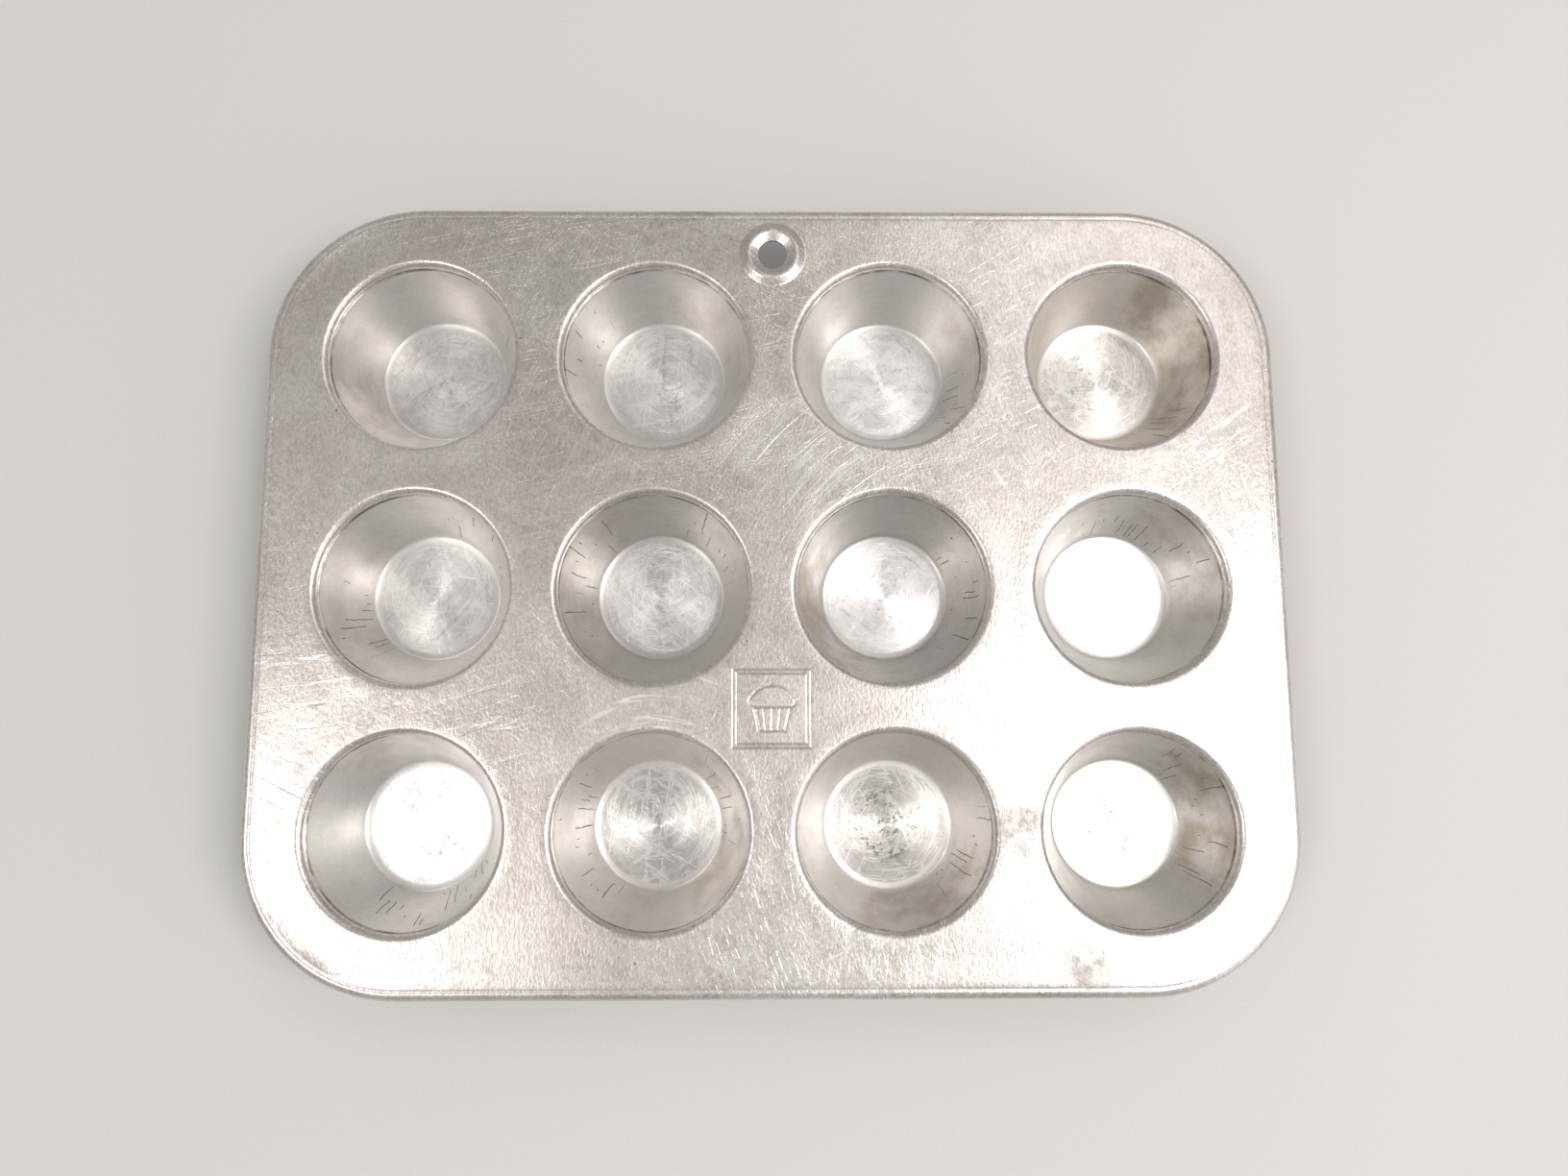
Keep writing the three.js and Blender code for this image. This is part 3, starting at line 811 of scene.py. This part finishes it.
    knife_sectors = folded(tree, "MAXIMUM",
                           [sector(tree, heading, angle, spread) for angle, spread in knife_marks])
    knife = folded(tree, "MULTIPLY",
                   [add(tree, "ShaderNodeMapRange", {0: off_line, 1: 0.06, 2: 0.035}, **SOFT),
                    in_length, knife_sectors, on_wall])

    # A stain on part of the wall, crumbs baked to the floor, and grease in the seam, whose dark
    # tone is also painted shade in the seam's groove.
    stain_angle, stain_spread, stain_strength = stain
    stain_cloud = add(tree, "ShaderNodeMapRange", {0: cloud, 1: 0.3, 2: 0.7}, **SOFT)
    stain_share = folded(tree, "MULTIPLY", [sector(tree, heading, stain_angle, stain_spread),
                                            stain_strength, on_wall, stain_cloud])
    crumbs = add(tree, "ShaderNodeTexNoise", {"Vector": cloud_place, "Scale": 520.0, "Detail": 5.0,
                                              "Roughness": 0.7})
    crumb_edge = 0.61 - 0.07 * residue
    crumb_masks = [add(tree, "ShaderNodeMapRange", {0: source, 1: start, 2: end}, **SOFT)
                   for source, start, end in ((crumbs, crumb_edge, crumb_edge + 0.02),
                                              (reach, 17 * MM, 9 * MM), (cloud, 0.36, 0.5))]
    crumb_share = folded(tree, "MULTIPLY", crumb_masks + [min(1.0, residue * 1.4), inside])
    # The seam's grease is also painted shade in its groove.
    seam_grease_and_shade_band = {0: rise, 1: cup_rim - 0.8 * MM, 2: cup_rim - 0.2 * MM, 4: 0.75}
    grease_and_painted_shade = folded(tree, "MULTIPLY",
                   [add(tree, "ShaderNodeMapRange", seam_grease_and_shade_band, **SOFT),
                    add(tree, "ShaderNodeMapRange", {0: cloud, 1: 0.3, 2: 0.65}, **SOFT)])

    # Painted light and shade: each cup's floor and wall tones are lighter or darker to match how
    # brightly it is lit.
    bare_tone_with_painted_light = add(tree, "ShaderNodeMix",
               {"Factor": on_floor, 6: linear(wall_tone_with_painted_light), 7: linear(floor_tone_with_painted_light)}, **COLOURS)
    cloud_share = add(tree, "ShaderNodeMapRange", {0: cloud, 1: 0.45, 2: 0.7, 4: 0.2}, **SOFT)
    clouded = add(tree, "ShaderNodeMix", {"Factor": cloud_share, 6: bare_tone_with_painted_light, 7: linear("#b5b2af")},
                  **COLOURS)
    ring_share = add(tree, "ShaderNodeMapRange", {0: rings, 1: 0.52, 2: 0.7, 4: 0.3}, **SOFT)
    ringed = add(tree, "ShaderNodeMix", {"Factor": ring_share, 6: clouded, 7: linear("#efeeec")},
                 **COLOURS)
    pits = add(tree, "ShaderNodeTexNoise", {"Vector": cloud_place, "Scale": 620.0, "Detail": 3.0,
                                            "Roughness": 0.65})
    pit_tone = add(tree, "ShaderNodeMapRange", {"Value": pits, "From Min": 0.35, "From Max": 0.6,
                                                "To Min": 0.86, "To Max": 1.0})
    pit_share = add(tree, "ShaderNodeMapRange", {"Value": on_floor, "To Min": 0.4, "To Max": 1.0})
    tone = add(tree, "ShaderNodeMix", {"Factor": pit_share, 6: ringed, 7: pit_tone}, **COLOURS,
               blend_type="MULTIPLY")
    # The dark scratch lines here are painted shadow.
    for marks, strength, colour in (
            (scratch, 0.75 - 0.4 * residue, "#fdfcfb"), (painted_scratch_shadow, 0.3, "#8d8984"),
            (knife, 0.85, "#3a3632"), (stain_share, 1.0, "#a79982"),
            (crumb_share, 1.0, "#89847e"), (grease_and_painted_shade, 1.0, "#3f3a35")):
        share = add(tree, "ShaderNodeMath", {0: marks, 1: strength}, operation="MULTIPLY")
        tone = add(tree, "ShaderNodeMix", {"Factor": share, 6: tone, 7: linear(colour)}, **COLOURS)

    roughness = add(tree, "ShaderNodeMapRange", {"Value": cloud, "From Min": 0.3, "From Max": 0.75,
                                                 "To Min": 0.3, "To Max": 0.42})
    # The walls are rubbed by every cake, so they shine less and more evenly than the floor.
    rubbed = add(tree, "ShaderNodeMapRange", {"Value": on_floor, "To Min": 0.07, "To Max": 0})
    roughness = add(tree, "ShaderNodeMath", {0: roughness, 1: rubbed}, operation="ADD")
    raised = folded(tree, "MAXIMUM",
                    [add(tree, "ShaderNodeMath", {0: rings, 1: 0.5}, operation="MULTIPLY"),
                     add(tree, "ShaderNodeMath", {0: scratch, 1: 0.55}, operation="MULTIPLY")])
    knife_depth = add(tree, "ShaderNodeMath", {0: knife, 1: 0.8}, operation="MULTIPLY")
    height = add(tree, "ShaderNodeMath", {0: raised, 1: knife_depth}, operation="SUBTRACT")
    relief = add(tree, "ShaderNodeBump", {"Height": height, "Strength": 0.6, "Distance": 0.05 * MM})
    shine = add(tree, "ShaderNodeBsdfPrincipled",
                {"Base Color": tone, "Metallic": 1.0, "Roughness": roughness, "Anisotropic": 0.6,
                 "Tangent": stretch, "Normal": relief})
    add(tree, "ShaderNodeOutputMaterial", {"Surface": shine})
    return finish


# Tone of floor and wall, with painted light and shade in them: each cup's pair is lighter or darker
# to match how brightly that cup is lit. Then sectors of knife marks (angle, half spread), the stain
# (angle, half spread, strength) and the residue of each cup, in rows from the hang-hole side.
WALL_TONE_WITH_PAINTED_LIGHT = "#e4e2e0"
CUP_WEAR_AND_PAINTED_LIGHT = {
    (1, 1): ("#efedea", WALL_TONE_WITH_PAINTED_LIGHT, ((0, 30),), (200, 50, 0.25), 0.15),
    (1, 2): ("#f0eeeb", WALL_TONE_WITH_PAINTED_LIGHT, ((170, 30),), (30, 50, 0.2), 0.1),
    (1, 3): ("#f8f6f4", WALL_TONE_WITH_PAINTED_LIGHT, ((-30, 30),), (0, 40, 0.2), 0.1),
    (1, 4): ("#dddad5", "#e8e5df", ((-60, 40),), (10, 60, 0.6), 0.35),
    (2, 1): ("#eceae7", WALL_TONE_WITH_PAINTED_LIGHT, ((40, 35), (200, 30)), (180, 50, 0.2), 0.15),
    (2, 2): ("#eae8e5", "#d3d1ce", ((170, 45), (40, 25)), (180, 60, 0.3), 0.15),
    (2, 3): ("#f9f8f6", "#d2d0cd", ((0, 45),), (200, 50, 0.6), 0.3),
    (2, 4): ("#ffffff", "#dfddda", ((60, 50),), (30, 50, 0.3), 0.0),
    (3, 1): ("#fbfbfa", WALL_TONE_WITH_PAINTED_LIGHT, ((-70, 50),), (90, 50, 0.2), 0.3),
    (3, 2): ("#dedbd8", "#eae8e4", ((190, 50), (20, 30)), (0, 60, 0.3), 0.2),
    (3, 3): ("#c6c3bf", "#f3f1ee", ((-20, 30),), (-60, 50, 0.4), 0.85),
    (3, 4): ("#fbfbfa", "#dddbd6", ((10, 50),), (10, 50, 0.6), 1.0),
}
cup_tree = turning_tree()
for (row, column), wear_and_painted_light in CUP_WEAR_AND_PAINTED_LIGHT.items():
    name = f"cup_row{row}_col{column}"
    centre = cup_centre(row, column)
    seed = row * 4.0 + column
    finish = cup_finish(f"drawn aluminium cup {row} {column}", centre, seed, *wear_and_painted_light)
    half_section = line_mesh(name, [(p.x - SPINDLE, -p.y, 0) for p in cup_section()])
    cup = made_by(cup_tree, half_section, "tin_" + name, spindle_radius=SPINDLE,
                  steps_round=CUP_STEPS, centre=(centre.x, centre.y, 0), waviness=0.5 * MM,
                  seed=seed, finish=finish)
    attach(cup, "root")
    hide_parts(name)


# ---------------------------------------------------------------------------------------------
# Rim wire. A drawn, galvanised steel wire runs all round inside the rolled edge and stiffens it.
# The curl hides it, except through the gap under the sheet.

WIRE_RADIUS = 1.85 * MM
WIRE_SIDES = 16


def wire_tree():
    """Carries a round section along a rounded rectangle."""
    group, given = new_group("bent wire", {"Path": "Geometry", "Wire radius": "Float",
                                           "Sides": "Int", "Finish": "Material"})
    path = add(group, "GeometryNodeMeshToCurve", {"Mesh": given["Path"]})
    level = add(group, "GeometryNodeSetCurveNormal", {"Curve": path}, mode="Z_UP")
    section = add(group, "GeometryNodeCurvePrimitiveCircle",
                  {"Resolution": given["Sides"], "Radius": given["Wire radius"]}, mode="RADIUS")
    tube = add(group, "GeometryNodeCurveToMesh", {"Curve": level, "Profile Curve": section})
    return end_group(group, tube, given["Finish"])


# Galvanised steel: a dull blue-grey zinc skin with faint crystals, 2 mm across, and a darker
# cloudy patina.
wire_finish, tree = new_finish("galvanised steel wire")
place = add(tree, "ShaderNodeTexCoord", out=3)
spangle = add(tree, "ShaderNodeTexVoronoi", {"Vector": place, "Scale": 520.0}, out=1)
patina = add(tree, "ShaderNodeTexNoise", {"Vector": place, "Scale": 240.0, "Detail": 3.0})
zinc = add(tree, "ShaderNodeMix", {"Factor": 0.18, 6: linear("#8d9194"), 7: spangle}, **COLOURS,
           blend_type="SOFT_LIGHT")
patina_share = add(tree, "ShaderNodeMapRange", {0: patina, 1: 0.5, 2: 0.75, 4: 0.6}, **SOFT)
dulled = add(tree, "ShaderNodeMix", {"Factor": patina_share, 6: zinc, 7: linear("#6d6c69")},
             **COLOURS)
rough = add(tree, "ShaderNodeMapRange", {"Value": patina, "To Min": 0.42, "To Max": 0.62})
relief = add(tree, "ShaderNodeBump", {"Height": patina, "Strength": 0.4, "Distance": 0.03 * MM})
shine = add(tree, "ShaderNodeBsdfPrincipled", {"Base Color": dulled, "Metallic": 1.0,
                                               "Roughness": rough, "Normal": relief})
add(tree, "ShaderNodeOutputMaterial", {"Surface": shine})

wire_path = [Vector((p.x + d.x * CREASE_WIDTH, p.y + d.y * CREASE_WIDTH, bead_height))
             for p, d in zip(edge_path, edge_outward)]
wire = made_by(wire_tree(), line_mesh("wire path", wire_path, closed=True), "tin_rim_wire",
               wire_radius=WIRE_RADIUS, sides=WIRE_SIDES, finish=wire_finish)
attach(wire, "root")
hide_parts("rim_wire")


# ---------------------------------------------------------------------------------------------
# Studio: a plain pale floor, a big soft light on the right of the tin, smaller ones behind it, on
# its left and low in front, an even room, and the camera above.

FLOOR_HALF = 9.0
FLOOR_LEVEL = -0.05 * MM
floor_mesh = bpy.data.meshes.new("studio floor")
floor_mesh.from_pydata([(x * FLOOR_HALF, y * FLOOR_HALF, FLOOR_LEVEL)
                        for x, y in ((-1, -1), (1, -1), (1, 1), (-1, 1))], [], [(0, 1, 2, 3)])
studio_floor = bpy.data.objects.new("studio_floor", floor_mesh)
bpy.context.scene.collection.objects.link(studio_floor)
# Matt pale paper, which has hardly a highlight of its own.
floor_finish, tree = new_finish("matt pale paper")
place = add(tree, "ShaderNodeTexCoord", out=3)
fibre = add(tree, "ShaderNodeTexNoise", {"Vector": place, "Scale": 900.0, "Detail": 2.0})
paper = add(tree, "ShaderNodeMix", {"Factor": fibre, 6: linear("#d5d4d2"), 7: linear("#dddcda")},
            **COLOURS)
matt = add(tree, "ShaderNodeBsdfPrincipled", {"Base Color": paper, "Roughness": 0.85})
add(tree, "ShaderNodeOutputMaterial", {"Surface": matt})
floor_mesh.materials.append(floor_finish)

world = bpy.data.worlds.new("room")
bpy.context.scene.world = world
world.use_nodes = True
room = world.node_tree.nodes["Background"]
room.inputs["Color"].default_value = linear("#efebe9")
room.inputs["Strength"].default_value = 0.54


def soft_light(name, centre, size, power, colour="#fffbf8"):
    """A rectangular soft light that faces the middle of the tin."""
    lamp = bpy.data.lights.new(name, "AREA")
    lamp.shape = "RECTANGLE"
    lamp.size, lamp.size_y = size
    lamp.energy = power
    lamp.color = linear(colour)[:3]
    holder = bpy.data.objects.new(name, lamp)
    holder.location = centre
    holder.rotation_euler = (Vector((0, 0, SHEET_TOP)) - Vector(centre)).to_track_quat(
        "-Z", "Y").to_euler()
    bpy.context.scene.collection.objects.link(holder)
    return holder


soft_light("soft box", (0.87, -0.18, 1.5), (0.54, 0.88), 13.5)
soft_light("rear soft box", (0.62, 0.85, 1.5), (0.7, 0.4), 1.7)
soft_light("front strip", (-0.88, -0.4, 1.5), (0.5, 0.5), 5.2)
soft_light("low window", (1.35, -0.75, 0.6), (1.3, 0.9), 3.4)

# The camera looks down from just in front of the tin's middle, and leans back a little.
CAMERA_PLACE = (-0.0004, -0.0483, 0.4014)
CAMERA_TURN = (0.1287, -0.0112, -0.0023)
lens = bpy.data.cameras.new("camera")
lens.sensor_width = 36
lens.lens = 24.92
lens.clip_start = 0.01
camera = bpy.data.objects.new("camera", lens)
camera.location = CAMERA_PLACE
camera.rotation_euler = CAMERA_TURN
bpy.context.scene.collection.objects.link(camera)
bpy.context.scene.camera = camera
bpy.context.scene.view_settings.view_transform = "Standard"
